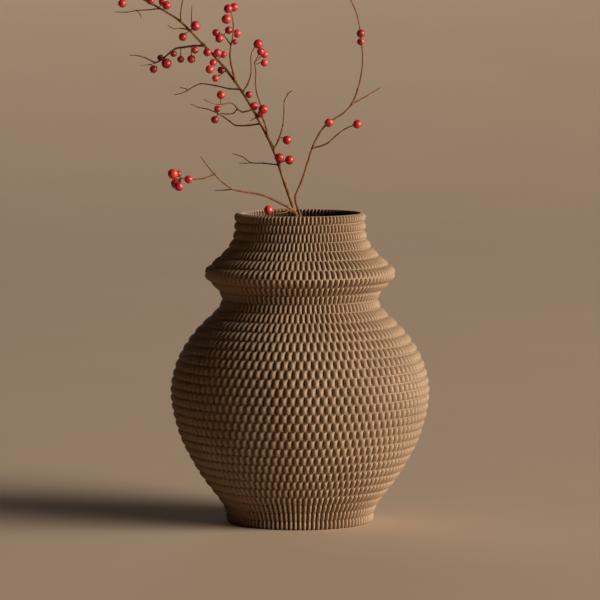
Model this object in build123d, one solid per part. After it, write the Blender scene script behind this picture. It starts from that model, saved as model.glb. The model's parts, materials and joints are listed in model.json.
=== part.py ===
"""Ribbed vase with two branches of berries.

Millimetres. +Z is up and the origin is the centre of the vase's underside. -Y is the front.
"""

import os
from math import cos, radians, sin

from build123d import *

# ---- vase: driving dimensions -------------------------------------------------------------
VASE_HEIGHT = 250.0
RING_COUNT = 36  # rings of beads from foot to rim
ALIGNED_RINGS = 4  # lowest rings, whose beads stand in line and leave shallow grooves
GROOVE_DEPTH = 2.3  # from a ring's crest to the groove beside it
ALIGNED_GROOVE_DEPTH = 1.0
WALL = 2.0  # solid wall behind the deepest groove
FLOOR = 3.0
# Crest radius of the wall at heights from foot to rim: foot, belly, neck, collar, mouth.
OUTLINE = [
    (0.0, 59.2),
    (10.4, 60.8),
    (17.4, 63.9),
    (31.2, 75.6),
    (52.0, 88.9),
    (73.0, 98.6),
    (104.0, 104.9),
    (128.5, 100.5),
    (149.3, 88.9),
    (163.2, 75.8),
    (170.1, 68.1),
    (177.1, 63.9),
    (184.0, 63.9),
    (191.0, 68.2),
    (201.4, 78.7),
    (211.8, 67.5),
    (218.8, 60.5),
    (225.7, 56.1),
    (234.0, 53.4),
    (250.0, 53.0),
]

# The vase is one piece of plastic. It is drawn as stacked sections that meet face to face, each
# from one ring's lower groove to another's, counted from the foot.
SECTIONS = {
    "vase_foot": (0, 6),
    "vase_lower_belly": (6, 12),
    "vase_upper_belly": (12, 18),
    "vase_shoulder": (18, 25),
    "vase_collar": (25, 31),
    "vase_neck": (31, RING_COUNT),
}

# ---- branches: driving dimensions ---------------------------------------------------------
STEM_LEAN = 19.0  # degrees from vertical, towards -X, of both stems inside the vase
MAIN_FOOT_HEIGHT = 33.2
RIGHT_FOOT_HEIGHT = 36.2
MAIN_AT_MOUTH = (-3.8, 0.0, 249.7)
RIGHT_AT_MOUTH = (-0.5, 3.0, 249.7)
STALK_DIAMETER = 0.9  # the thin stalk between a berry and its twig


def down_the_stem(at_mouth, height):
    """The point of a stem's straight lower part at that height."""
    x, y, z = at_mouth
    drop = z - height
    return (x + drop * sin(radians(STEM_LEAN)) / cos(radians(STEM_LEAN)), y, height)


# Each limb: (limb it grows from, points from root to tip, root diameter, tip diameter).
LIMBS = {
    "main_stem": (
        None,
        [
            down_the_stem(MAIN_AT_MOUTH, MAIN_FOOT_HEIGHT),
            down_the_stem(MAIN_AT_MOUTH, 150.0),
            MAIN_AT_MOUTH,
            (-12.1, 0.0, 273.7),
            (-21.8, 0.0, 302.1),
            (-33.8, -1.0, 326.1),
            (-46.6, -3.0, 347.9),
            (-60.8, -5.0, 367.3),
            (-78.0, -7.0, 386.0),
            (-96.7, -8.0, 404.8),
            (-117.7, -8.0, 417.6),
            (-134.0, -7.0, 426.0),
            (-153.0, -5.0, 440.0),
            (-169.0, -3.0, 457.0),
            (-181.0, -1.0, 477.0),
            (-189.0, 0.0, 498.0),
        ],
        4.4,
        1.1,
    ),
    "left_sprig": (
        "main_stem",
        [
            (-4.6, 0.0, 252.0),
            (-9.5, -2.5, 254.9),
            (-16.3, -5.0, 258.4),
            (-28.7, -9.0, 264.4),
            (-41.9, -12.0, 267.3),
            (-53.9, -15.0, 269.8),
            (-63.5, -17.0, 276.9),
            (-72.5, -18.0, 286.8),
            (-79.6, -19.0, 296.4),
        ],
        2.3,
        0.9,
    ),
    "left_sprig_fork": (
        "left_sprig",
        [
            (-68.1, -17.5, 282.0),
            (-76.7, -20.0, 279.0),
            (-86.6, -22.0, 278.2),
            (-95.0, -23.0, 279.2),
        ],
        1.4,
        0.9,
    ),
    "left_sprig_spur": (
        "left_sprig",
        [(-53.9, -15.0, 269.8), (-59.5, -12.0, 269.0), (-68.4, -9.0, 268.6)],
        1.0,
        0.7,
    ),
    "low_twig": (
        "main_stem",
        [
            (-3.6, 0.0, 249.2),
            (-8.0, -2.0, 252.2),
            (-14.5, -4.5, 253.2),
            (-21.5, -6.5, 252.9),
        ],
        1.2,
        0.8,
    ),
    "low_twig_fork": (
        "low_twig",
        [(-8.0, -2.0, 252.2), (-13.5, -5.8, 250.2), (-19.0, -9.5, 250.6)],
        0.9,
        0.6,
    ),
    "lower_left_twig": (
        "main_stem",
        [
            (-17.2, 0.0, 288.7),
            (-22.5, 4.0, 289.0),
            (-29.4, 9.0, 289.6),
            (-39.8, 15.0, 289.8),
            (-46.5, 19.0, 294.2),
            (-54.9, 23.0, 296.7),
        ],
        1.3,
        0.7,
    ),
    "lower_left_twig_fork": (
        "lower_left_twig",
        [(-39.8, 15.0, 289.8), (-44.0, 15.5, 289.1), (-49.2, 16.0, 289.5)],
        0.8,
        0.6,
    ),
    "lower_right_twig": (
        "main_stem",
        [
            (-21.4, 0.0, 301.0),
            (-17.2, -3.8, 309.4),
            (-13.8, -7.0, 320.1),
            (-12.8, -9.0, 332.1),
            (-12.4, -10.5, 340.6),
            (-9.6, -11.5, 346.0),
            (-5.9, -12.0, 349.2),
        ],
        1.6,
        0.8,
    ),
    "middle_left_twig": (
        "main_stem",
        [
            (-31.7, -0.8, 322.0),
            (-40.8, 3.0, 320.4),
            (-51.6, 7.0, 320.2),
            (-56.5, 9.0, 323.2),
            (-61.4, 11.0, 326.8),
            (-67.4, 12.0, 330.2),
            (-75.2, 14.0, 333.2),
            (-82.0, 16.0, 334.4),
            (-88.2, 17.0, 337.2),
        ],
        1.6,
        0.7,
    ),
    "middle_left_stub": (
        "main_stem",
        [(-34.5, -1.1, 327.3), (-37.5, -3.4, 325.6), (-40.3, -5.4, 324.2)],
        1.2,
        0.8,
    ),
    "winding_twig": (
        "main_stem",
        [
            (-38.0, -1.7, 333.2),
            (-46.4, -5.0, 331.4),
            (-50.2, -7.0, 334.1),
            (-52.9, -9.0, 337.6),
            (-56.8, -11.0, 339.1),
            (-61.8, -13.0, 337.8),
            (-68.3, -14.0, 338.1),
            (-73.2, -15.0, 340.0),
            (-77.4, -15.5, 342.2),
        ],
        1.5,
        0.7,
    ),
    "winding_twig_fork": (
        "winding_twig",
        [(-50.2, -7.0, 334.1), (-53.4, -4.6, 330.4), (-58.5, -2.0, 329.6), (-64.2, 0.5, 330.4)],
        1.1,
        0.7,
    ),
    "upper_left_twig": (
        "main_stem",
        [
            (-47.8, -3.2, 349.6),
            (-57.0, 2.0, 349.9),
            (-68.0, 7.0, 352.2),
            (-80.0, 12.0, 353.7),
            (-85.3, 13.0, 351.6),
            (-94.3, 15.0, 346.4),
            (-101.7, 15.5, 344.5),
        ],
        1.5,
        0.7,
    ),
    "upper_left_twig_fork": (
        "upper_left_twig",
        [(-90.7, 14.2, 348.5), (-93.4, 16.6, 349.8), (-97.2, 18.6, 350.4)],
        0.8,
        0.6,
    ),
    "right_inner_twig": (
        "main_stem",
        [
            (-46.0, -2.9, 346.9),
            (-41.8, -6.4, 354.3),
            (-39.5, -10.0, 361.2),
            (-39.1, -13.0, 368.1),
            (-39.3, -15.0, 374.9),
            (-38.4, -16.5, 379.8),
            (-36.6, -17.4, 382.8),
        ],
        1.4,
        0.8,
    ),
    "right_outer_twig": (
        "main_stem",
        [
            (-26.4, -0.4, 311.4),
            (-27.2, -4.2, 319.4),
            (-29.6, -7.2, 326.4),
            (-30.6, -8.4, 332.9),
            (-32.2, -9.0, 339.6),
            (-34.6, -9.2, 346.5),
            (-35.7, -8.8, 355.2),
            (-35.4, -7.6, 363.6),
            (-36.6, -6.4, 371.2),
        ],
        2.0,
        0.9,
    ),
    "tall_twig": (
        "main_stem",
        [
            (-52.3, -3.8, 355.7),
            (-53.4, -7.2, 363.1),
            (-55.2, -9.0, 370.0),
            (-56.0, -10.0, 377.0),
            (-55.2, -10.5, 385.2),
            (-53.6, -11.0, 392.5),
            (-53.4, -12.0, 402.4),
            (-54.6, -12.5, 410.0),
        ],
        2.1,
        1.0,
    ),
    "tall_twig_fork": (
        "tall_twig",
        [(-55.2, -10.5, 385.2), (-58.2, -9.0, 389.2), (-61.0, -7.5, 393.2)],
        1.2,
        0.9,
    ),
    "arched_twig": (
        "main_stem",
        [
            (-76.8, -6.9, 384.7),
            (-85.0, -4.0, 384.4),
            (-92.9, -1.0, 383.4),
            (-99.8, 2.0, 382.2),
            (-104.6, 3.0, 378.9),
            (-109.6, 4.0, 374.6),
            (-115.4, 5.0, 371.0),
            (-119.6, 6.0, 372.2),
            (-125.3, 7.0, 374.9),
            (-131.1, 8.0, 376.4),
            (-137.0, 8.5, 376.6),
        ],
        2.1,
        0.7,
    ),
    "arched_twig_fork": (
        "arched_twig",
        [(-115.4, 5.0, 371.0), (-120.6, 2.6, 369.2), (-128.4, 0.0, 368.8)],
        0.9,
        0.6,
    ),
    "hooked_twig": (
        "main_stem",
        [(-89.6, -7.6, 397.7), (-95.4, -11.0, 398.6), (-101.0, -14.0, 398.4), (-106.0, -16.0, 401.2)],
        1.3,
        0.8,
    ),
    "upright_twig": (
        "main_stem",
        [(-86.2, -7.5, 394.2), (-87.0, -5.2, 404.0), (-86.5, -4.6, 417.0)],
        1.3,
        0.8,
    ),
    "top_twig": (
        "main_stem",
        [
            (-95.2, -8.0, 403.3),
            (-95.6, -10.6, 410.2),
            (-94.4, -12.4, 417.2),
            (-93.2, -13.0, 424.5),
            (-93.6, -13.4, 433.0),
        ],
        1.4,
        0.8,
    ),
    "far_left_twig": (
        "main_stem",
        [
            (-112.5, -8.0, 414.4),
            (-121.3, -3.0, 413.3),
            (-131.1, 3.0, 412.7),
            (-139.5, 8.0, 411.3),
            (-149.0, 12.0, 411.5),
        ],
        1.1,
        0.6,
    ),
    "far_left_twig_fork": (
        "far_left_twig",
        [(-131.1, 3.0, 412.7), (-128.6, 3.4, 409.6), (-127.6, 3.6, 406.2)],
        0.8,
        0.6,
    ),
    "crown_left_twig": (
        "main_stem",
        [
            (-152.0, -5.1, 439.3),
            (-162.0, -9.0, 441.0),
            (-173.0, -12.0, 440.2),
            (-184.0, -14.0, 443.5),
        ],
        1.4,
        0.7,
    ),
    "crown_right_twig": (
        "main_stem",
        [
            (-161.0, -4.0, 448.5),
            (-158.0, -1.0, 458.0),
            (-158.5, 3.0, 470.0),
            (-154.0, 6.0, 481.0),
        ],
        1.3,
        0.7,
    ),
    "right_stem": (
        None,
        [
            down_the_stem(RIGHT_AT_MOUTH, RIGHT_FOOT_HEIGHT),
            down_the_stem(RIGHT_AT_MOUTH, 150.0),
            down_the_stem(RIGHT_AT_MOUTH, 257.0),
            (-3.6, 3.4, 263.2),
            (1.0, 5.0, 274.3),
            (6.2, 7.0, 290.1),
            (10.2, 9.0, 302.7),
            (15.3, 10.0, 312.9),
            (20.4, 11.0, 319.7),
            (26.6, 12.0, 324.4),
            (36.2, 13.0, 330.7),
            (42.4, 14.0, 338.1),
            (46.5, 15.0, 348.3),
            (49.4, 16.0, 359.7),
            (50.7, 16.0, 371.1),
            (50.3, 16.0, 382.4),
            (48.8, 15.0, 395.8),
            (45.6, 13.5, 410.5),
            (40.2, 12.0, 422.2),
            (32.0, 10.0, 432.0),
            (22.5, 8.0, 439.5),
        ],
        3.2,
        0.9,
    ),
    "right_upper_twig": (
        "right_stem",
        [(41.8, 13.9, 337.4), (49.8, 16.5, 341.2), (57.8, 19.0, 345.8), (64.8, 21.0, 350.2)],
        1.5,
        1.0,
    ),
    "right_lower_twig": (
        "right_stem",
        [
            (10.0, 8.9, 301.9),
            (16.4, 8.0, 303.4),
            (22.6, 7.0, 306.1),
            (29.4, 5.0, 312.3),
            (36.2, 3.2, 317.4),
            (42.3, 2.2, 320.2),
        ],
        1.5,
        0.9,
    ),
}

# Each cluster: (limb it hangs on, berries as (x, y, z, diameter)).
BERRIES = {
    "left_sprig_berries": (
        "left_sprig_fork",
        [
            (-101.5, -26.3, 282.8, 8.4),
            (-97.6, -17.0, 282.4, 5.6),
            (-99.0, -22.0, 274.8, 8.8),
            (-96.6, -30.4, 272.9, 7.6),
            (-89.0, -26.6, 278.4, 6.8),
        ],
    ),
    "low_berry": ("low_twig", [(-25.4, -7.6, 252.8, 7.6)]),
    "lower_stem_berries": (
        "main_stem",
        [(-16.6, -5.9, 294.7, 7.8), (-8.4, -4.6, 292.9, 7.8)],
    ),
    "lower_right_berry": ("lower_right_twig", [(-10.4, -5.0, 308.9, 7.4)]),
    "middle_stem_berries": (
        "main_stem",
        [(-36.9, -7.6, 336.2, 6.8), (-41.0, -9.2, 345.5, 5.8), (-31.0, -2.4, 330.0, 6.6)],
    ),
    "right_outer_low_berry": ("right_outer_twig", [(-29.4, -13.4, 333.9, 7.8)]),
    "middle_left_berries": (
        "middle_left_twig",
        [(-66.6, 8.4, 333.4, 5.8), (-68.8, 12.6, 324.6, 6.4)],
    ),
    "winding_twig_berry": ("winding_twig", [(-63.2, -13.4, 345.4, 7.2)]),
    "right_inner_berry": ("right_inner_twig", [(-33.4, -18.4, 386.2, 7.8)]),
    "right_outer_berries": (
        "right_outer_twig",
        [(-31.4, -11.6, 380.0, 6.4), (-28.4, -5.6, 377.6, 6.2), (-28.6, -5.8, 370.9, 6.2)],
    ),
    "tall_twig_berries": (
        "tall_twig",
        [
            (-57.4, -16.6, 414.2, 7.2),
            (-52.6, -11.4, 415.4, 7.0),
            (-58.8, -14.4, 405.9, 8.0),
            (-50.4, -7.2, 394.4, 7.0),
            (-52.0, -14.6, 387.8, 4.6),
        ],
    ),
    "tall_fork_berries": (
        "tall_twig_fork",
        [(-57.2, -5.2, 397.0, 6.4), (-67.4, -4.4, 395.0, 6.2), (-64.6, -10.6, 390.4, 6.8)],
    ),
    "cluster_berries": (
        "main_stem",
        [
            (-74.2, -12.4, 379.5, 6.8),
            (-66.0, -9.6, 379.0, 6.8),
            (-61.6, -2.6, 377.4, 5.8),
            (-69.6, -8.2, 371.2, 6.0),
            (-72.4, -12.2, 365.8, 6.8),
            (-63.6, 0.4, 364.9, 5.8),
            (-67.8, -4.6, 358.4, 5.8),
        ],
    ),
    "arched_twig_berries": (
        "arched_twig",
        [
            (-84.2, -8.2, 381.0, 5.8),
            (-87.2, -6.0, 373.9, 6.8),
            (-95.8, -3.0, 373.6, 5.8),
            (-101.6, -1.6, 378.0, 5.4),
            (-107.2, -1.4, 370.3, 8.4),
            (-112.4, 8.6, 374.6, 5.6),
        ],
    ),
    "arched_fork_berry": ("arched_twig_fork", [(-117.8, 1.8, 365.6, 6.4)]),
    "upper_stem_berries": (
        "main_stem",
        [
            (-83.6, -14.0, 400.6, 8.2),
            (-94.0, -5.4, 391.6, 6.8),
            (-106.6, -13.6, 417.0, 7.2),
            (-109.8, -4.4, 419.8, 7.2),
            (-119.6, -13.6, 420.8, 6.8),
            (-142.2, -9.6, 418.4, 6.8),
        ],
    ),
    "crown_berries": (
        "main_stem",
        [(-158.4, -9.8, 449.6, 7.2), (-177.0, -6.4, 462.6, 7.0), (-186.4, 4.6, 483.0, 6.8)],
    ),
    "crown_left_berries": (
        "crown_left_twig",
        [(-171.6, -17.4, 444.4, 6.8), (-186.8, -14.6, 447.6, 7.0)],
    ),
    "right_low_berry": ("right_stem", [(23.4, 6.6, 322.4, 7.4)]),
    "right_twig_berry": ("right_lower_twig", [(46.2, 1.6, 321.4, 7.4)]),
    "right_high_berries": (
        "right_stem",
        [(49.0, 10.6, 394.2, 7.0), (49.2, 20.4, 387.4, 6.4)],
    ),
}


def crest_radius(height):
    """The vase's crest radius at a height: a smooth curve through the points of OUTLINE."""
    last = len(OUTLINE) - 1
    i = next((k for k in range(last) if height <= OUTLINE[k + 1][0]), last - 1)

    def slope(k):
        below, above = OUTLINE[max(k - 1, 0)], OUTLINE[min(k + 1, last)]
        return (above[1] - below[1]) / (above[0] - below[0])

    (z0, r0), (z1, r1) = OUTLINE[i], OUTLINE[i + 1]
    span = z1 - z0
    t = (height - z0) / span
    bend_in, bend_out = slope(i) * span, slope(i + 1) * span
    return (
        r0 * (2 * t**3 - 3 * t**2 + 1)
        + bend_in * (t**3 - 2 * t**2 + t)
        + r1 * (3 * t**2 - 2 * t**3)
        + bend_out * (t**3 - t**2)
    )


def groove_at(ring):
    """The outer wall's point in the groove below that ring."""
    height = ring * VASE_HEIGHT / RING_COUNT
    depth = ALIGNED_GROOVE_DEPTH if ring < ALIGNED_RINGS else GROOVE_DEPTH
    return (crest_radius(height) - depth, 0, height)


def crest_at(ring):
    """The outer wall's point on that ring's crest."""
    height = (ring + 0.5) * VASE_HEIGHT / RING_COUNT
    return (crest_radius(height), 0, height)


def inner_wall(height):
    return (crest_radius(height) - GROOVE_DEPTH - WALL, 0, height)


def make_section(lowest, end):
    """Rings lowest to end - 1: rounded outside, smooth inside, and floored if they reach the foot."""
    rounds = []
    for ring in range(lowest, end):
        rounds.append(ThreePointArc(groove_at(ring), crest_at(ring), groove_at(ring + 1)))
    inside = [inner_wall(ring * VASE_HEIGHT / RING_COUNT) for ring in range(end, lowest, -1)]
    if lowest == 0:
        inside += [inner_wall(FLOOR), (0, 0, FLOOR), (0, 0, 0)]
    else:
        inside.append(inner_wall(lowest * VASE_HEIGHT / RING_COUNT))
    closing = Polyline(groove_at(end), *inside, groove_at(lowest))
    return revolve(make_face([*rounds, closing]), Axis.Z)


def make_limb(points, root_diameter, tip_diameter):
    """A tapered stem or twig: straight cones from point to point."""
    spots = [Vector(*p) for p in points]
    runs = [(b - a).length for a, b in zip(spots, spots[1:])]
    sections, walked = [], 0.0
    for i, spot in enumerate(spots):
        before = (spot - spots[i - 1]).normalized() if i else None
        after = (spots[i + 1] - spot).normalized() if i + 1 < len(spots) else None
        along = (before or after) + (after or before)
        across = Vector(0, 1, 0) - along.normalized() * along.normalized().Y
        share = walked / sum(runs)
        diameter = root_diameter + (tip_diameter - root_diameter) * share
        sections.append(Plane(spot, x_dir=across, z_dir=along) * Circle(diameter / 2))
        walked += runs[i] if i < len(runs) else 0.0
    return loft(sections, ruled=True)


def nearest_on(points, target):
    """The point of a limb's centre line nearest to a target."""
    goal = Vector(*target)
    best = None
    for a, b in zip(points, points[1:]):
        start, run = Vector(*a), Vector(*b) - Vector(*a)
        share = min(max((goal - start).dot(run) / run.length**2, 0.0), 1.0)
        spot = start + run * share
        if best is None or (goal - spot).length < (goal - best).length:
            best = spot
    return best


def make_berry(centre, diameter, limb_points, limb):
    """A round berry on a straight stalk that ends on the limb's surface."""
    root = nearest_on(limb_points, centre)
    stalk = make_limb([tuple(root), centre], STALK_DIAMETER, STALK_DIAMETER)
    return (Pos(*centre) * Sphere(diameter / 2) + stalk) - limb


def write(name, shape):
    export_step(shape, f"parts/{name}.step")


os.makedirs("parts", exist_ok=True)
for name, (lowest, end) in SECTIONS.items():
    write(name, make_section(lowest, end))

solids = {}
for name, (parent, points, root_diameter, tip_diameter) in LIMBS.items():
    limb = make_limb(points, root_diameter, tip_diameter)
    if parent:
        limb = limb - solids[parent]
    solids[name] = limb
    write(name, limb)

for name, (limb_name, berries) in BERRIES.items():
    route = LIMBS[limb_name][1]
    made = [make_berry((x, y, z), d, route, solids[limb_name]) for x, y, z, d in berries]
    write(name, Compound(children=[piece for berry in made for piece in berry.solids()]))
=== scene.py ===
"""Looks for the ribbed vase with berry branches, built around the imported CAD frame.

Metres. +Z is up, the origin is the centre of the vase's underside and -Y is the front.
"""

import json
import math
import random

import bpy
import numpy as np
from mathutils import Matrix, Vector, noise


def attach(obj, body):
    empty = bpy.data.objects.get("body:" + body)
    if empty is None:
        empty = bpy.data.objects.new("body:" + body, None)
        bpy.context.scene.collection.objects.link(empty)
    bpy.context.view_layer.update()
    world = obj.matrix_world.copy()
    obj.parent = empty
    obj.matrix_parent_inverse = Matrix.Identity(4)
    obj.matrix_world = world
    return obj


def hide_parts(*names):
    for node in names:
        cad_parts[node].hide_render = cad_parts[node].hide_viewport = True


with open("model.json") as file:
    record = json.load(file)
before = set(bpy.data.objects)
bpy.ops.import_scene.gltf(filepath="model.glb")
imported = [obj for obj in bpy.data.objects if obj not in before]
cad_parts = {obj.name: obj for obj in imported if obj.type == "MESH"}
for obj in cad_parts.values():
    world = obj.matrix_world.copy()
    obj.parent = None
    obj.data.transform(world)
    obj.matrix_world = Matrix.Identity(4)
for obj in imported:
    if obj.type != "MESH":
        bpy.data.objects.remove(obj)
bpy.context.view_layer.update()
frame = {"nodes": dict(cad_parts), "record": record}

scene = bpy.context.scene
MM = 0.001

# ---- camera and light ---------------------------------------------------------------------
CAMERA_AT = (0.0, -3.06, 0.4374)
CAMERA_AIM = (0.0, 0.0, 0.1794)
CAMERA_LENS = 228.0
KEY_AZIMUTH = 69.0  # degrees to the right of the camera, seen from the vase
KEY_ELEVATION = 10.0
KEY_DISTANCE = 12.0
KEY_SIZE = 10.0
KEY_POWER = 3750.0
BACK_AZIMUTH = 190.0  # a weak lamp from behind, so that the back can be seen
BACK_ELEVATION = 8.0
BACK_DISTANCE = 8.0
BACK_SIZE = 5.0
BACK_POWER = 90.0
LAMP_COLOUR = (1.0, 0.95, 0.88)
LAMPS_AIM = (0.0, 0.0, 0.2)
SKY_STRENGTH = 0.010
SKY_COLOUR = (1.0, 0.93, 0.85, 1.0)
FLOOR_FRONT = -16.0
FLOOR_HALF_WIDTH = 12.0
FLOOR_FLAT = 3.3  # the floor is flat this far behind the vase, then curves gently up
FLOOR_CURVE = 0.047
FLOOR_DEPTH = 9.0
FLOOR_STEPS = 24

# ---- vase ---------------------------------------------------------------------------------
ROWS = 36
ALIGNED_ROWS = 4  # lowest rows, whose beads stand in line
COLUMNS = 100  # beads round each row
ACROSS = (-1.0, -0.82, -0.42, 0.0, 0.42, 0.82)  # points over a bead, in halves of its width
UP = (0.0, 0.1, 0.34, 0.66, 0.9)  # points up a row of beads
POCKET_DEPTH = 4.8 * MM  # from a bead's crest to the bottom of the pocket beside it
ROW_NOTCH = 3.0 * MM  # from a bead's crest to the groove above and below it
ALIGNED_NOTCH = 2.0 * MM  # the same between two rows whose beads stand in line
COLLAR_ROW = 29  # this row and the one below make the collar's crest
COLLAR_NOTCH = 0.7 * MM  # the shallow groove between those two
ACROSS_POWER = 1.75  # 2 makes a bead's section an ellipse, and more a squarer one
UP_POWER = 2.4  # the same for a bead seen from the side
PRINTED_WALL = 1.1 * MM  # wall left behind the beads
FINE_INNER_ROWS = 12  # rows below the mouth whose inner ribs can be seen

# ---- branches -----------------------------------------------------------------------------
LIMB_SIDES = 12
LIMB_STEP = 1.6 * MM
KNUCKLE_SWELL = 0.16  # how much thicker a limb is at each joint
BERRY_SIDES = 28
BERRY_LOOPS = 18
BUDS_ABOVE = 0.262  # joints below this height, in or near the mouth, have no bud
BUDLESS_SHARE = 0.35  # share of the other joints that have none
DICE_SEED = 7


def set_inputs(node, **values):
    """Sets a node's unlinked inputs; underscores in a name stand for spaces."""
    for name, value in values.items():
        node.inputs[name.replace("_", " ")].default_value = value


class Recipe:
    """A node material being built: its shader and short ways to add nodes to it."""

    def __init__(self, name):
        self.material = bpy.data.materials.new(name)
        self.material.use_nodes = True
        self.tree = self.material.node_tree
        self.shader = self.tree.nodes["Principled BSDF"]
        self.place = self.tree.nodes.new("ShaderNodeTexCoord").outputs["Object"]

    def link(self, output, node, name):
        self.tree.links.new(output, node.inputs[name])

    def noise(self, scale, detail=4.0, roughness=0.55):
        node = self.tree.nodes.new("ShaderNodeTexNoise")
        set_inputs(node, Scale=scale, Detail=detail, Roughness=roughness)
        self.link(self.place, node, "Vector")
        return node.outputs["Fac"]

    def waves(self, scale, distortion, direction="Z"):
        node = self.tree.nodes.new("ShaderNodeTexWave")
        node.bands_direction = direction
        set_inputs(node, Scale=scale, Distortion=distortion, Detail=2.0)
        self.link(self.place, node, "Vector")
        return node.outputs["Fac"]

    def attribute(self, name):
        node = self.tree.nodes.new("ShaderNodeAttribute")
        node.attribute_name = name
        return node.outputs["Fac"]

    def ramp(self, source, *stops):
        node = self.tree.nodes.new("ShaderNodeValToRGB")
        points = node.color_ramp.elements
        while len(points) < len(stops):
            points.new(0.5)
        for point, (position, colour) in zip(points, stops):
            point.position = position
            point.color = (*colour, 1.0)
        self.link(source, node, "Fac")
        return node.outputs["Color"]

    def blend(self, factor, first, second, kind="MIX"):
        node = self.tree.nodes.new("ShaderNodeMix")
        node.data_type = "RGBA"
        node.blend_type = kind
        sockets = {s.identifier: s for s in node.inputs}
        for name, value in (("Factor_Float", factor), ("A_Color", first), ("B_Color", second)):
            if isinstance(value, bpy.types.NodeSocket):
                self.tree.links.new(value, sockets[name])
            else:
                sockets[name].default_value = value
        return next(s for s in node.outputs if s.identifier == "Result_Color")

    def span(self, source, low, high):
        node = self.tree.nodes.new("ShaderNodeMapRange")
        set_inputs(node, To_Min=low, To_Max=high)
        self.link(source, node, "Value")
        return node.outputs["Result"]

    def bump(self, height, strength, distance, below=None):
        node = self.tree.nodes.new("ShaderNodeBump")
        set_inputs(node, Strength=strength, Distance=distance)
        self.link(height, node, "Height")
        if below:
            self.link(below, node, "Normal")
        return node.outputs["Normal"]


def printed_plastic():
    """Matte tan filament, laid in fine level layers, a little uneven in tone, with painted shade
    darkening the pockets between its beads.
    """
    m = Recipe("printed_plastic")
    clouds = m.noise(28.0, detail=3.0)
    tone = m.ramp(clouds, (0.30, (0.290, 0.181, 0.099)), (0.70, (0.362, 0.229, 0.129)))
    layers = m.waves(520.0, 0.4)
    streaks = m.ramp(layers, (0.0, (0.90, 0.89, 0.88)), (1.0, (1.0, 1.0, 1.0)))
    layered = m.blend(1.0, tone, streaks, "MULTIPLY")
    # painted shade: the colour darkens with depth in the pockets between the beads, standing in for
    # their shadow
    painted_pocket_shade = m.ramp(m.attribute("pocket"), (0.15, (1.0, 1.0, 1.0)), (0.90, (0.46, 0.41, 0.37)))
    m.link(m.blend(1.0, layered, painted_pocket_shade, "MULTIPLY"), m.shader, "Base Color")
    m.link(m.span(m.noise(160.0), 0.50, 0.68), m.shader, "Roughness")
    grain = m.bump(m.noise(2600.0, detail=2.0), 0.10, 0.10 * MM)
    m.link(m.bump(layers, 0.22, 0.10 * MM, grain), m.shader, "Normal")
    set_inputs(m.shader, Specular_IOR_Level=0.42)
    return m.material


def bark():
    """Reddish brown bark with paler flecks and fine cracks."""
    m = Recipe("bark")
    patches = m.noise(240.0, detail=6.0)
    tone = m.ramp(
        patches,
        (0.28, (0.092, 0.025, 0.006)),
        (0.52, (0.205, 0.070, 0.020)),
        (0.74, (0.335, 0.150, 0.052)),
    )
    flecks = m.ramp(m.noise(1400.0, detail=2.0), (0.60, (0.0, 0.0, 0.0)), (0.70, (1.0, 1.0, 1.0)))
    m.link(m.blend(flecks, tone, (0.36, 0.21, 0.10, 1.0)), m.shader, "Base Color")
    m.link(m.span(patches, 0.55, 0.85), m.shader, "Roughness")
    m.link(m.bump(m.noise(1100.0, detail=6.0), 0.55, 0.25 * MM), m.shader, "Normal")
    set_inputs(m.shader, Specular_IOR_Level=0.35)
    return m.material


def berry_skin():
    """Glossy red skin, with each berry its own depth of red and a faint mottle."""
    m = Recipe("berry_skin")
    ripe = m.ramp(
        m.attribute("ripeness"),
        (0.0, (0.350, 0.012, 0.015)),
        (0.5, (0.530, 0.026, 0.027)),
        (1.0, (0.680, 0.052, 0.042)),
    )
    mottle = m.ramp(m.noise(420.0), (0.35, (0.72, 0.66, 0.66)), (0.65, (1.0, 1.0, 1.0)))
    m.link(m.blend(1.0, ripe, mottle, "MULTIPLY"), m.shader, "Base Color")
    m.link(m.span(m.noise(700.0), 0.30, 0.46), m.shader, "Roughness")
    m.link(m.bump(m.noise(520.0), 0.12, 0.2 * MM), m.shader, "Normal")
    set_inputs(m.shader, Specular_IOR_Level=0.5, Coat_Weight=0.22, Coat_Roughness=0.30)
    return m.material


def calyx_brown():
    """The dry dark crown at a berry's far end."""
    m = Recipe("calyx_brown")
    tone = m.ramp(m.noise(1500.0), (0.3, (0.018, 0.008, 0.005)), (0.7, (0.070, 0.030, 0.016)))
    m.link(tone, m.shader, "Base Color")
    m.link(m.bump(m.noise(2400.0), 0.5, 0.2 * MM), m.shader, "Normal")
    set_inputs(m.shader, Roughness=0.85)
    return m.material


def studio_floor():
    """Plain pale matte ground with the faintest unevenness."""
    m = Recipe("studio_floor")
    tone = m.ramp(m.noise(3.0), (0.3, (0.550, 0.385, 0.250)), (0.7, (0.570, 0.402, 0.265)))
    m.link(tone, m.shader, "Base Color")
    set_inputs(m.shader, Roughness=0.9)
    return m.material


def mesh_object(name, verts, faces, materials, face_slots=None):
    mesh = bpy.data.meshes.new(name)
    mesh.from_pydata([tuple(v) for v in verts], [], faces)
    for material in materials:
        mesh.materials.append(material)
    if face_slots is not None:
        mesh.polygons.foreach_set("material_index", face_slots)
    mesh.polygons.foreach_set("use_smooth", [True] * len(faces))
    mesh.update()
    obj = bpy.data.objects.new(name, mesh)
    scene.collection.objects.link(obj)
    return obj


def node_points(name):
    mesh = frame["nodes"][name].data
    points = np.zeros(len(mesh.vertices) * 3)
    mesh.vertices.foreach_get("co", points)
    return points.reshape(-1, 3)


# ---- vase ---------------------------------------------------------------------------------
VASE_NODES = frame["record"]["behaviour"]["bodies"]["vase"]  # stacked sections of one printed wall


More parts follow.
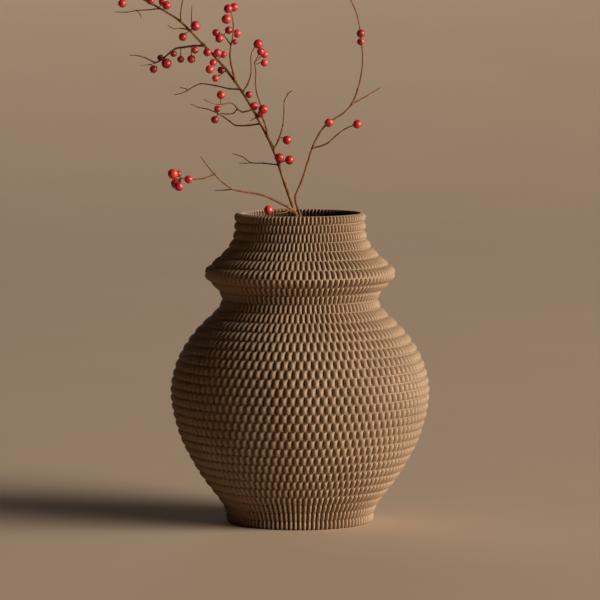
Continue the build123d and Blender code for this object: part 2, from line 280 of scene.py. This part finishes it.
def read_vase():
    """The CAD vase's crest radius at each row, its height, and the height of its floor."""
    points = np.vstack([node_points(node) for node in VASE_NODES])
    radius = np.hypot(points[:, 0], points[:, 1])
    height = points[:, 2]
    top = height.max()
    pitch = top / ROWS
    crests = []
    for i in range(ROWS):
        inside = (height > (i + 0.05) * pitch) & (height < (i + 0.95) * pitch)
        crests.append(radius[inside].max())
    foot = crests[0]
    above_ground = (height > 1 * MM) & (radius < foot - 3 * MM)
    return crests, top, height[above_ground].min()


def row_phase(i):
    """Half a turn for rows whose beads sit between those of the rows beside them."""
    return math.pi if i >= ALIGNED_ROWS and i % 2 == 0 else 0.0


def columns_of(i):
    """Row i's points all round: their angles, 0 facing the front, and their places over a bead.

    Every other row is turned by half a bead, and starts half a bead back to stay in step.
    """
    turned = round(row_phase(i) / math.pi)
    over = np.tile(ACROSS, COLUMNS)
    angles = (2 * np.repeat(np.arange(COLUMNS), len(ACROSS)) + turned + over) * math.pi / COLUMNS
    back = turned * len(ACROSS) // 2
    return np.roll(angles, back), np.roll(over, back)


def rounded(offset, power):
    """1 at the middle of a bead, falling to 0 at its edge along a superellipse."""
    return (1 - np.abs(offset) ** power) ** (1 / power)


def crest_at(height, crests, pitch):
    """The crests' radius at that height, read between the rows' middles."""
    middles = (np.arange(ROWS) + 0.5) * pitch
    return np.interp(height, middles, crests)


def wall_radii(i, share, crests, pitch):
    """The outer wall's radius all round, at that share of the way up row i."""
    crest = crest_at((i + share) * pitch, crests, pitch)
    off_middle = 2 * share - 1
    neighbour = i - 1 if share < 0.5 else i + 1
    in_line = neighbour == -1 or (neighbour < ROWS and row_phase(neighbour) == row_phase(i))
    pocket = POCKET_DEPTH * (1 - rounded(columns_of(i)[1], ACROSS_POWER))
    kept = rounded(off_middle, UP_POWER)
    if in_line:
        return crest - pocket - ALIGNED_NOTCH * (1 - kept)
    notch = COLLAR_NOTCH if max(i, neighbour) == COLLAR_ROW else ROW_NOTCH
    return crest - pocket * kept - notch * (1 - kept)


def pocket_shade(height, radii, crests, pitch):
    """How far each point lies behind the crests: 0 on a crest, 1 at the bottom of a pocket; it sets the
    painted shade there.
    """
    return np.clip((crest_at(height, crests, pitch) - radii) / POCKET_DEPTH, 0.0, 1.0)


def make_vase():
    """One skin: up the beaded outside, over the rim, down the ribbed inside and across the floor."""
    crests, top, floor = read_vase()
    pitch = top / ROWS
    foot = wall_radii(0, 0.0, crests, pitch)
    loops = [(0, 0.0, foot * share) for share in (0.25, 0.6, 0.9, 0.985)]
    beads_from = len(loops)
    for i in range(ROWS):
        for share in UP:
            loops.append((i, (i + share) * pitch, wall_radii(i, share, crests, pitch)))
    beads_to = len(loops)
    last = ROWS - 1
    rim = wall_radii(last, 1.0, crests, pitch)
    for fall, share in ((0.25, 0.0), (0.0, 0.3), (0.0, 0.7), (0.25, 1.0)):
        loops.append((last, top - fall * MM, rim - share * PRINTED_WALL))
    for i in reversed(range(ROWS)):
        for share in (0.75, 0.25) if i >= ROWS - FINE_INNER_ROWS else (0.5,):
            height = (i + share) * pitch
            if floor < height:
                loops.append((i, height, wall_radii(i, share, crests, pitch) - PRINTED_WALL))
    inside = loops[-1][2]
    loops += [(0, floor, inside * share) for share in (1.0, 0.97, 0.6, 0.25)]
    count = COLUMNS * len(ACROSS)
    verts = []
    for i, height, radii in loops:
        angles = columns_of(i)[0]
        verts.extend(zip(np.sin(angles) * radii, -np.cos(angles) * radii, [height] * count))
    faces = []
    for k in range(len(loops) - 1):
        low, high = k * count, (k + 1) * count
        for j in range(count):
            n = (j + 1) % count
            faces.append((low + j, low + n, high + n, high + j))
    end = (len(loops) - 1) * count
    faces.append(tuple(reversed(range(count))))
    faces.append(tuple(range(end, end + count)))
    vase = mesh_object("ribbed_vase", verts, faces, [PLASTIC])
    # the pocket attribute: depth behind the crests, which darkens the plastic's colour as painted shade
    # in the pockets
    shade = np.zeros(len(verts))
    for k in range(beads_from, beads_to):
        shade[k * count:(k + 1) * count] = pocket_shade(loops[k][1], loops[k][2], crests, pitch)
    vase.data.attributes.new("pocket", "FLOAT", "POINT").data.foreach_set("value", shade)
    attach(vase, "vase")
    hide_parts(*VASE_NODES)


# ---- reading limbs and berries from the frame ---------------------------------------------
def islands(name):
    """The CAD faces of a node, each as an array of its own points."""
    mesh = frame["nodes"][name].data
    leader = list(range(len(mesh.vertices)))

    def find(v):
        while leader[v] != v:
            leader[v] = leader[leader[v]]
            v = leader[v]
        return v

    for edge in mesh.edges:
        a, b = find(edge.vertices[0]), find(edge.vertices[1])
        if a != b:
            leader[a] = b
    groups = {}
    for v in range(len(leader)):
        groups.setdefault(find(v), []).append(v)
    points = node_points(name)
    return [points[members] for members in groups.values()]


def keyed(points):
    return {tuple(np.round(p / (0.002 * MM)).astype(int)): p for p in points}


def as_circle(points):
    """(centre, radius) if these points make a flat circle, or None."""
    if len(points) < 24:
        return None
    centre = points.mean(0)
    reach = np.linalg.norm(points - centre, axis=1)
    thickness = np.linalg.svd(points - centre, compute_uv=False)[2]
    if thickness > 0.002 * MM or np.ptp(reach) > 0.02 * MM:
        return None
    return centre, float(reach.mean())


def read_route(name):
    """A limb's joints from root to tip, as (centre, radius), walked back from its flat tip.

    Neighbouring cones share the circle between them; a root cut by its parent is not a circle.
    """
    faces = [keyed(points) for points in islands(name)]
    caps = [i for i, face in enumerate(faces) if as_circle(np.array(list(face.values())))]
    here = max(caps, key=lambda i: np.mean([p[2] for p in faces[i].values()]))
    seen, route = {here}, []
    while True:
        found = None
        for i in range(len(faces)):
            if i not in seen and not found:
                shared = [p for k, p in faces[i].items() if k in faces[here]]
                circle = as_circle(np.array(shared)) if shared else None
                found = (i, circle) if circle else None
        if not found:
            break
        here = found[0]
        seen.add(here)
        route.append(found[1])
    if here not in caps:
        route.append(cut_root(np.array(list(faces[here].values())), route))
    return route[::-1]


def cut_root(points, route):
    """The root end of the first cone, where the parent limb cuts it off."""
    centre, radius = route[-1]
    away = points[np.linalg.norm(points - centre, axis=1) > radius * 1.5]
    if not len(away):
        away = points
    axis = away.mean(0) - centre
    axis /= np.linalg.norm(axis)
    return centre + axis * ((away - centre) @ axis).max(), radius * 1.04


def fitted_ball(points):
    """(centre, radius, worst error) of the sphere that fits these points best."""
    rows = np.c_[2 * points, np.ones(len(points))]
    solved = np.linalg.lstsq(rows, (points**2).sum(1), rcond=None)[0]
    centre = solved[:3]
    radius = math.sqrt(max(solved[3] + centre @ centre, 0.0))
    error = np.abs(np.linalg.norm(points - centre, axis=1) - radius).max()
    return centre, radius, error


def read_berries(name):
    """A berry node's berries, as (centre, radius, where its stalk leaves the limb)."""
    balls, rest = [], []
    for points in islands(name):
        if len(points) > 200:
            centre, radius, error = fitted_ball(points)
            if error < 0.05 * MM and radius > 1.8 * MM:
                balls.append((centre, radius))
                continue
        rest.append(points)
    berries = []
    for centre, radius in balls:
        near = [p for p in rest if np.linalg.norm(p - centre, axis=1).min() < radius * 1.1]
        reach = np.concatenate(near) if near else np.array([centre])
        far = np.linalg.norm(reach - centre, axis=1)
        root = reach[far > far.max() - 0.2 * MM].mean(0)
        berries.append((centre, radius, root))
    return berries


# ---- branches -----------------------------------------------------------------------------
def smooth_route(route):
    """Points every LIMB_STEP along a smooth curve through a route's joints, with radii."""
    centres = [Vector(c) for c, _ in route]
    radii = [r for _, r in route]
    points = []
    for i in range(len(centres) - 1):
        before = centres[max(i - 1, 0)]
        after = centres[min(i + 2, len(centres) - 1)]
        a, b = centres[i], centres[i + 1]
        run = (b - a).length
        start = (b - before).normalized() * run * 0.8
        end = (after - a).normalized() * run * 0.8
        steps = max(2, round(run / LIMB_STEP))
        for k in range(steps):
            t = k / steps
            place = (
                a * (2 * t**3 - 3 * t**2 + 1)
                + start * (t**3 - 2 * t**2 + t)
                + b * (3 * t**2 - 2 * t**3)
                + end * (t**3 - t**2)
            )
            knuckle = math.exp(-((min(t, 1 - t) * run / (1.6 * MM)) ** 2))
            radius = radii[i] + (radii[i + 1] - radii[i]) * t
            points.append((place, radius * (0.93 + KNUCKLE_SWELL * knuckle)))
    points.append((centres[-1], radii[-1] * 0.75))
    return points


def tube(points, sides, lumps=0.0, close=True):
    """(verts, faces) of a round tube through (point, radius) pairs, rounded off at its tip."""
    verts, faces = [], []
    across = Vector((0.0, 1.0, 0.0))
    for i, (place, radius) in enumerate(points):
        ahead = points[min(i + 1, len(points) - 1)][0] - points[max(i - 1, 0)][0]
        ahead.normalize()
        across = (across - ahead * across.dot(ahead)).normalized()
        third = ahead.cross(across)
        for j in range(sides):
            turn = 2 * math.pi * j / sides
            out = across * math.cos(turn) + third * math.sin(turn)
            bumpy = 1 + lumps * noise.noise((place + out * radius) * 420.0)
            verts.append(place + out * radius * bumpy)
    for i in range(len(points) - 1):
        for j in range(sides):
            n = (j + 1) % sides
            a, b = i * sides, (i + 1) * sides
            faces.append((a + j, a + n, b + n, b + j))
    if close:
        end, radius = points[-1]
        ahead = (end - points[-2][0]).normalized()
        verts.append(end + ahead * radius * 0.7)
        last = (len(points) - 1) * sides
        for j in range(sides):
            faces.append((last + j, last + (j + 1) % sides, len(verts) - 1))
        faces.append(tuple(reversed(range(sides))))
    return verts, faces


class Parts:
    """Several small shapes gathered into one mesh."""

    def __init__(self):
        self.verts, self.faces, self.slots, self.shade = [], [], [], []

    def add(self, verts, faces, slot=0, shade=0.5):
        start = len(self.verts)
        self.verts += verts
        self.faces += [tuple(start + v for v in face) for face in faces]
        self.slots += [slot] * len(faces)
        self.shade += [shade] * len(verts)


def bud(parts, place, along, size):
    """A small pointed bud that lies forward against its twig."""
    points = [
        (place + along * size * reach, size * width)
        for reach, width in ((-0.5, 0.10), (-0.1, 0.42), (0.5, 0.50), (1.1, 0.34), (1.6, 0.10))
    ]
    parts.add(*tube(points, 8))


def make_limb(name, body, dice):
    """A stem or twig of the frame as smooth, slightly lumpy bark with buds at its joints."""
    route = read_route(name)
    points = smooth_route(route)
    start, radius = points[0]
    back = (start - points[1][0]).normalized()
    is_stem = name.endswith("_stem")
    if not is_stem:  # a collar where the twig leaves its parent
        points[0] = (start, radius * 1.35)
        points.insert(0, (start + back * radius * 0.8, radius * 1.5))
    parts = Parts()
    parts.add(*tube(points, LIMB_SIDES, lumps=0.10))
    for (a, _), (here, r), (b, _) in zip(route, route[1:], route[2:]):
        if here[2] < BUDS_ABOVE or dice.random() < BUDLESS_SHARE:
            continue
        along = Vector(b - a).normalized()
        side = along.cross(Vector((dice.uniform(-1, 1), dice.uniform(-1, 1), 0.3))).normalized()
        size = max(0.55 * MM, r * 0.9)
        bud(parts, Vector(here) + side * r * 0.85, (along + side * 0.45).normalized(), size)
    limb = mesh_object("bark_" + name, parts.verts, parts.faces, [BARK])
    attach(limb, body)
    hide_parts(name)


def berry_shape(centre, radius, away, dice):
    """(verts, faces) of a berry that is dimpled at its stalk and at its crown; away points crownward."""
    across = away.orthogonal().normalized()
    third = away.cross(across)
    seed = Vector((dice.uniform(0, 9), dice.uniform(0, 9), dice.uniform(0, 9)))
    verts, faces = [], []
    for i in range(1, BERRY_LOOPS):
        polar = math.pi * i / BERRY_LOOPS
        for j in range(BERRY_SIDES):
            turn = 2 * math.pi * j / BERRY_SIDES
            out = (
                away * math.cos(polar)
                + (across * math.cos(turn) + third * math.sin(turn)) * math.sin(polar)
            )
            dimple = 0.10 * math.exp(-((polar / 0.22) ** 2))
            dimple += 0.07 * math.exp(-(((math.pi - polar) / 0.26) ** 2))
            uneven = 0.022 * noise.noise(out * 1.7 + seed)
            verts.append(centre + out * radius * (0.985 - dimple + uneven))
    for i in range(BERRY_LOOPS - 2):
        for j in range(BERRY_SIDES):
            n = (j + 1) % BERRY_SIDES
            a, b = i * BERRY_SIDES, (i + 1) * BERRY_SIDES
            faces.append((a + j, b + j, b + n, a + n))
    faces.append(tuple(range(BERRY_SIDES)))
    faces.append(tuple(reversed(range(len(verts) - BERRY_SIDES, len(verts)))))
    return verts, faces


def crown(parts, centre, radius, away):
    """The dry calyx: a dark button with five short points."""
    across = away.orthogonal().normalized()
    third = away.cross(across)
    seat = centre + away * radius * 0.86
    button = [(seat + away * radius * up, radius * wide) for up, wide in
              ((-0.06, 0.16), (0.04, 0.15), (0.08, 0.07))]
    parts.add(*tube(button, 10), slot=2)
    for k in range(5):
        turn = 2 * math.pi * k / 5
        out = across * math.cos(turn) + third * math.sin(turn)
        points = [
            (seat + out * radius * 0.07, radius * 0.050),
            (seat + out * radius * 0.15 + away * radius * 0.05, radius * 0.042),
            (seat + out * radius * 0.21 + away * radius * 0.12, radius * 0.014),
        ]
        parts.add(*tube(points, 6), slot=2)


def make_berries(name, body, dice):
    """A berry node of the frame: each berry on its stalk, with a crown at its far end."""
    parts = Parts()
    for centre, radius, root in read_berries(name):
        centre, root = Vector(centre), Vector(root)
        away = centre - root
        if away.length < 0.2 * MM:
            away = Vector((0.0, 0.0, -1.0))
        away.normalize()
        droop = (away + Vector((0.0, 0.0, -0.25))).normalized()
        parts.add(*berry_shape(centre, radius, droop, dice), slot=0, shade=dice.random())
        neck = centre - droop * radius * 0.90
        sag = (root + neck) / 2 + Vector((0.0, 0.0, -0.06)) * (root - neck).length
        stalk = [
            (root - away * 0.4 * MM, 0.50 * MM),
            (root + away * 0.3 * MM, 0.42 * MM),
            (sag, 0.36 * MM),
            (neck, 0.46 * MM),
        ]
        parts.add(*tube(stalk, 8, close=False), slot=1)
        crown(parts, centre, radius, droop)
    berries = mesh_object(name + "_skin", parts.verts, parts.faces, [BERRY, BARK, CALYX], parts.slots)
    ripeness = berries.data.attributes.new("ripeness", "FLOAT", "POINT")
    ripeness.data.foreach_set("value", parts.shade)
    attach(berries, body)
    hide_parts(name)


# ---- studio -------------------------------------------------------------------------------
def look_from(obj, place, target):
    obj.location = place
    obj.rotation_euler = (Vector(target) - Vector(place)).to_track_quat("-Z", "Y").to_euler()


def make_camera():
    data = bpy.data.cameras.new("camera")
    data.lens = CAMERA_LENS
    data.sensor_width = 36.0
    data.clip_start, data.clip_end = 0.05, 100.0
    camera = bpy.data.objects.new("camera", data)
    scene.collection.objects.link(camera)
    look_from(camera, CAMERA_AT, CAMERA_AIM)
    scene.camera = camera


def make_lamp(name, azimuth, elevation, distance, size, power):
    """A wide soft lamp aimed at the vase. The azimuth is to the right of the camera."""
    data = bpy.data.lights.new(name, "AREA")
    data.shape = "DISK"
    data.size = size
    data.energy = power
    data.color = LAMP_COLOUR
    lamp = bpy.data.objects.new(name, data)
    lamp.visible_camera = False
    scene.collection.objects.link(lamp)
    a, e = math.radians(azimuth), math.radians(elevation)
    middle = Vector(LAMPS_AIM)
    way = Vector((math.sin(a) * math.cos(e), -math.cos(a) * math.cos(e), math.sin(e)))
    look_from(lamp, middle + way * distance, middle)


def make_floor():
    """A pale floor, flat round the object, that curves gently up into the backdrop."""
    profile = [(FLOOR_FRONT, 0.0)]
    for k in range(FLOOR_STEPS + 1):
        back = FLOOR_DEPTH * k / FLOOR_STEPS
        profile.append((FLOOR_FLAT + back, FLOOR_CURVE * back**2))
    verts = [(x, y, z) for y, z in profile for x in (-FLOOR_HALF_WIDTH, FLOOR_HALF_WIDTH)]
    faces = [(2 * k, 2 * k + 1, 2 * k + 3, 2 * k + 2) for k in range(len(profile) - 1)]
    mesh_object("studio_floor", verts, faces, [FLOOR])


def make_sky():
    world = bpy.data.worlds.new("studio")
    world.use_nodes = True
    set_inputs(world.node_tree.nodes["Background"], Color=SKY_COLOUR, Strength=SKY_STRENGTH)
    scene.world = world


PLASTIC = printed_plastic()
BARK = bark()
BERRY = berry_skin()
CALYX = calyx_brown()
FLOOR = studio_floor()

make_camera()
make_floor()
make_sky()
make_lamp("key_lamp", KEY_AZIMUTH, KEY_ELEVATION, KEY_DISTANCE, KEY_SIZE, KEY_POWER)
make_lamp("back_lamp", BACK_AZIMUTH, BACK_ELEVATION, BACK_DISTANCE, BACK_SIZE, BACK_POWER)
scene.view_settings.view_transform = "Standard"

make_vase()
dice = random.Random(DICE_SEED)
slot_of = {s["node"]: s["material_slot"] for s in frame["record"]["subparts"]}
for body, members in frame["record"]["behaviour"]["bodies"].items():
    for node in members:
        if slot_of[node] == "bark":
            make_limb(node, body, dice)
        elif slot_of[node] == "berry_skin":
            make_berries(node, body, dice)
